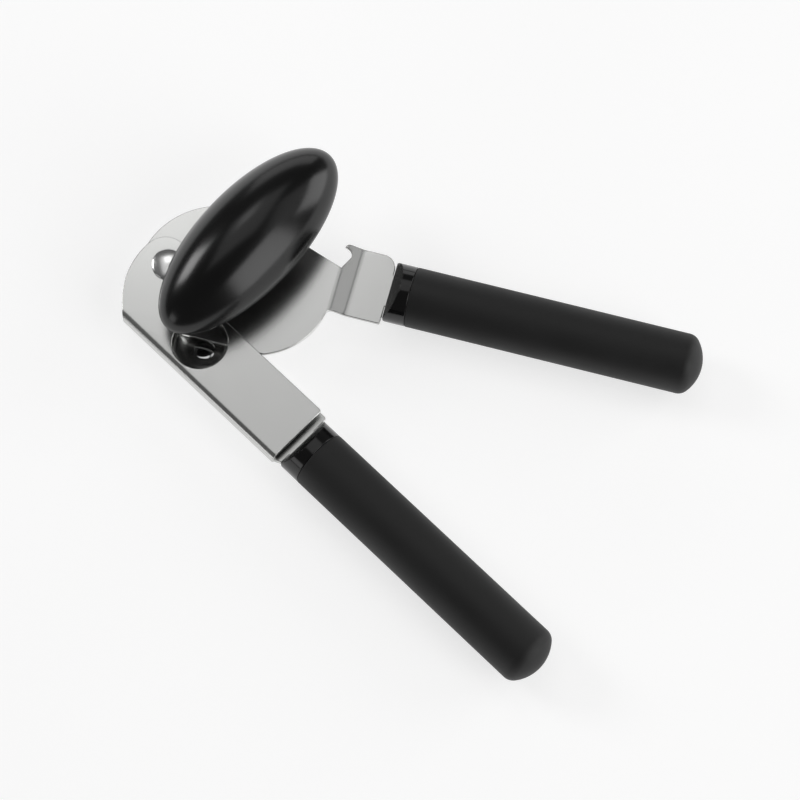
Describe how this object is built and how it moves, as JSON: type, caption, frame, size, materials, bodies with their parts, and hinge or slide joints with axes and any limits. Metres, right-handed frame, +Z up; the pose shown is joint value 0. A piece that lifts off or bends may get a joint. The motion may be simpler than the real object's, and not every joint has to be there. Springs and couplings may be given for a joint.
{
  "type": "manual can opener",
  "caption": "Butterfly can opener: folded steel channel arm and flat plate arm on one rivet, cutting wheel, feed wheel under a long domed knob, hook, and round soft-grip handles.",
  "frame": {"origin": "centre of the bounding box at its lowest plane, the surface that the opener lies on", "axes": "+X along the lower arm towards its handle, +Z up to the knob's side, +Y towards the upper arm"},
  "size_m": [0.2008, 0.1324, 0.043],
  "materials": {
    "sheet_steel": "satin-polished stainless sheet",
    "polished_steel": "polished",
    "hardened_steel": "ground, nickel plated",
    "nylon": "natural",
    "gloss_black": "moulded, glossy",
    "satin_black": "moulded, satin",
    "soft_black": "soft-touch, matt"
  },
  "bodies": {
    "lower_arm": {"lower_arm_channel": "sheet_steel", "pivot_rivet": "polished_steel", "pivot_washer_back": "nylon", "pivot_washer_front": "nylon", "cutter_axle": "polished_steel", "cutter_washer": "hardened_steel", "cutter_bush": "hardened_steel", "lower_handle_core": "gloss_black", "lower_handle_grip": "soft_black"},
    "cutter": {"cutting_wheel": "hardened_steel"},
    "upper_arm": {"upper_arm_plate": "sheet_steel", "shaft_bush": "hardened_steel", "upper_handle_core": "gloss_black", "upper_handle_grip": "soft_black"},
    "drive": {"drive_shaft": "polished_steel", "feed_wheel": "hardened_steel", "feed_wheel_spacer": "hardened_steel", "shaft_foot_washer": "polished_steel", "shaft_top_washer": "nylon", "knob_shell": "satin_black", "knob_base": "satin_black", "knob_hub": "satin_black", "knob_push_nut": "hardened_steel"}
  },
  "joints": [
    {"name": "arm_pivot", "type": "hinge", "parent": "lower_arm", "child": "upper_arm", "pos_m": [-0.08796, -0.04144, 0.0105], "axis": [0, 0, 1], "range_deg": [-28.6, 60]},
    {"name": "knob_turn", "type": "hinge", "parent": "upper_arm", "child": "drive", "pos_m": [-0.07017, -0.01838, 0.0105], "axis": [0, 0, 1], "continuous": true},
    {"name": "cutter_turn", "type": "hinge", "parent": "lower_arm", "child": "cutter", "pos_m": [-0.05836, -0.05304, 0.0105], "axis": [0, 0.1736, 0.9848], "continuous": true}
  ]
}
